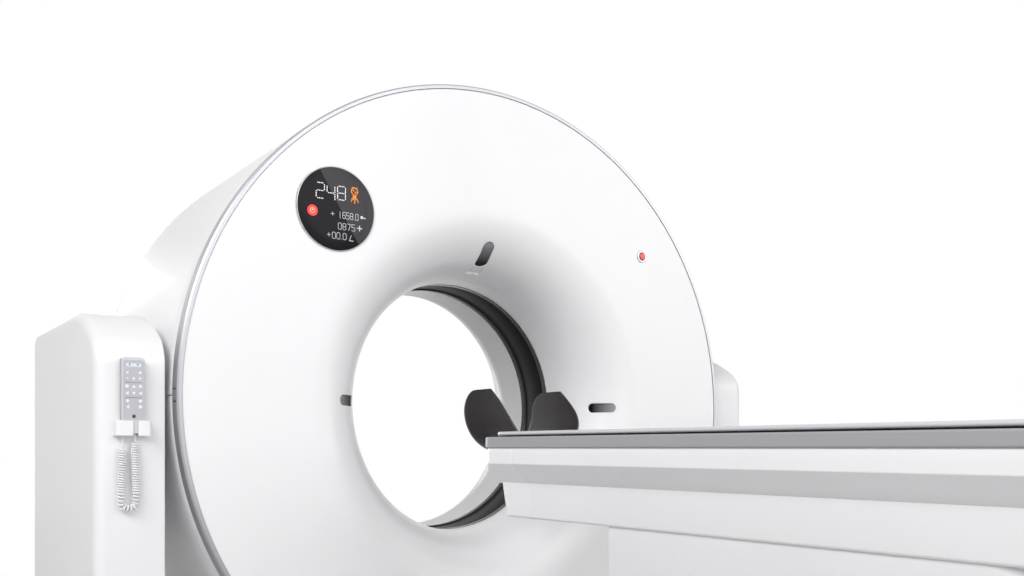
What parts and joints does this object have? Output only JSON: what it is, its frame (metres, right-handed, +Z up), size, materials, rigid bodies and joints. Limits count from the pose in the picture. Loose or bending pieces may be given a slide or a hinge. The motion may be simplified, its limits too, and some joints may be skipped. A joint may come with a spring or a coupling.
{
  "type": "ct scanner",
  "caption": "Floor-standing CT scanner: a ring gantry with a flared bore that tilts between two stands, and a lifting table whose cradle slides into the bore.",
  "frame": {"origin": "on the floor under the isocentre, the point where the bore's axis meets the scan plane", "axes": "+Y along the bore, away from the patient table; +X to the right of somebody who stands at the table; +Z up"},
  "size_m": [2.18, 3.585, 1.932],
  "materials": {
    "cover_white": "satin",
    "ring_silver": "satin",
    "window_dark": "gloss",
    "window_ring": "gloss",
    "display_black": "gloss",
    "bezel_silver": "satin",
    "button_red": "gloss",
    "pod_white": "satin",
    "handset_grey": "satin",
    "keypad_grey": "satin",
    "holder_white": "satin",
    "cord_white": "satin",
    "deck_grey": "satin",
    "cradle_dark": "gloss",
    "holder_carbon": "gloss",
    "table_white": "satin",
    "skirt_grey": "satin",
    "plinth_grey": "satin",
    "duct_grey": "satin",
    "frame_steel": "satin",
    "plain_steel": "satin",
    "column_steel": "satin",
    "drum_aluminium": "satin",
    "tube_steel": "satin",
    "box_metal": "satin",
    "cooler_aluminium": "satin",
    "slip_resin": "satin",
    "brush_resin": "satin",
    "magnet_steel": "satin"
  },
  "bodies": {
    "base": {"gantry_base": "frame_steel", "stand_left": "frame_steel", "stand_right": "frame_steel", "pod_cover_left": "pod_white", "pod_cover_right": "pod_white", "trunnion_bearing_left": "plain_steel", "trunnion_bearing_right": "plain_steel", "tilt_drive": "tube_steel", "handset_holder": "holder_white", "handset": "handset_grey", "handset_keypad": "keypad_grey", "handset_cord": "cord_white", "floor_duct": "duct_grey", "table_base": "frame_steel", "pedestal_plinth": "plinth_grey", "lift_column_fixed": "column_steel"},
    "gantry": {"front_cover": "cover_white", "trim_ring": "ring_silver", "side_cover_upper": "cover_white", "side_cover_lower": "cover_white", "rear_cover": "cover_white", "scan_window": "window_ring", "laser_window_left": "window_dark", "laser_window_right": "window_dark", "laser_window_top": "window_dark", "display_bezel": "bezel_silver", "display_glass": "display_black", "e_stop_bezel": "bezel_silver", "tilt_frame": "frame_steel", "trunnion_left": "plain_steel", "trunnion_right": "plain_steel", "bearing_outer_race": "plain_steel", "drive_stator_ring": "magnet_steel", "brush_block": "brush_resin"},
    "rotor": {"rotor_drum": "drum_aluminium", "bearing_inner_race": "plain_steel", "drive_magnet_ring": "magnet_steel", "slip_ring": "slip_resin", "xray_tube": "tube_steel", "collimator": "tube_steel", "detector_housing": "box_metal", "detector_modules": "magnet_steel", "high_voltage_generator": "box_metal", "inverter_box": "box_metal", "heat_exchanger": "cooler_aluminium"},
    "stop_button": {"e_stop_button": "button_red"},
    "lift_stage": {"lift_column_middle": "column_steel"},
    "table": {"lift_column_top": "column_steel", "pedestal_skirt": "skirt_grey", "table_frame": "frame_steel", "slide_rail_left": "plain_steel", "slide_rail_right": "plain_steel", "linear_drive": "cooler_aluminium", "table_side_shell": "table_white", "table_lower_shell": "table_white", "table_front_cap": "table_white", "table_deck": "deck_grey"},
    "tabletop": {"cradle": "cradle_dark", "head_holder": "holder_carbon", "cradle_carriage": "cooler_aluminium"}
  },
  "joints": [
    {"name": "gantry_tilt", "type": "hinge", "parent": "base", "child": "gantry", "pos_m": [0, 0, 1.02], "axis": [-1, 0, 0], "range_deg": [-30, 30]},
    {"name": "rotor_spin", "type": "hinge", "parent": "gantry", "child": "rotor", "pos_m": [0, 0, 1.02], "axis": [0, 1, 0], "continuous": true},
    {"name": "emergency_stop_push", "type": "slide", "parent": "gantry", "child": "stop_button", "axis": [0, 1, 0], "range_m": [0, 0.004], "stiffness_N_per_m": 1500},
    {"name": "table_lift", "type": "slide", "parent": "base", "child": "table", "axis": [0, 0, 1], "range_m": [-0.35, 0.03]},
    {"name": "lift_stage_rise", "type": "slide", "parent": "base", "child": "lift_stage", "axis": [0, 0, 1], "range_m": [-0.175, 0.015]},
    {"name": "cradle_slide", "type": "slide", "parent": "table", "child": "tabletop", "axis": [0, 1, 0], "range_m": [0, 1.6]}
  ],
  "couplings": [
    {"joint": "lift_stage_rise", "follows": "table_lift", "ratio": 0.5}
  ]
}
